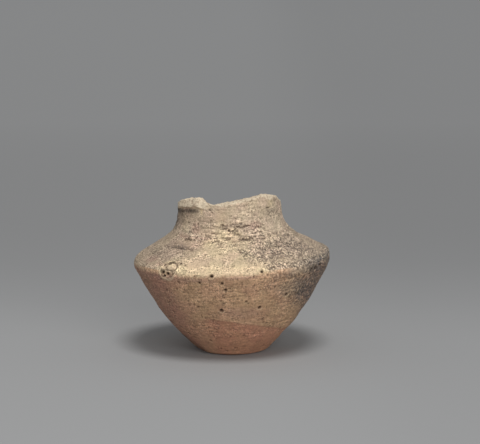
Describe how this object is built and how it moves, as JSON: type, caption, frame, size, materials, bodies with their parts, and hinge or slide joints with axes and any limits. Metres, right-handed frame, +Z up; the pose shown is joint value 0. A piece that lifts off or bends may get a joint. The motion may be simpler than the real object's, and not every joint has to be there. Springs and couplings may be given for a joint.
{
  "type": "carinated jar",
  "caption": "Small carinated earthenware jar with a flat base, flaring wall, sloping shoulder and a neck whose rim has broken away.",
  "frame": {"origin": "on the resting plane, below the middle of the widest ring", "axes": "+Z up through the neck; -Y is the side that the picture shows; +X to the viewer's right, where the carination sits a little higher"},
  "size_m": [0.0456, 0.0456, 0.0374],
  "materials": {
    "foot_clay": "unglazed, matt, reddish where it lay in the fire",
    "wiped_clay": "unglazed, matt, wiped with a wet hand, pitted, fire-clouded on one side",
    "worn_clay": "unglazed, matt, worn and speckled, cream where rubbed",
    "neck_clay": "unglazed, matt, cream where the rim broke away"
  },
  "bodies": {
    "root": {"base": "foot_clay", "lower_wall": "wiped_clay", "shoulder": "worn_clay", "neck": "neck_clay"}
  },
  "joints": []
}
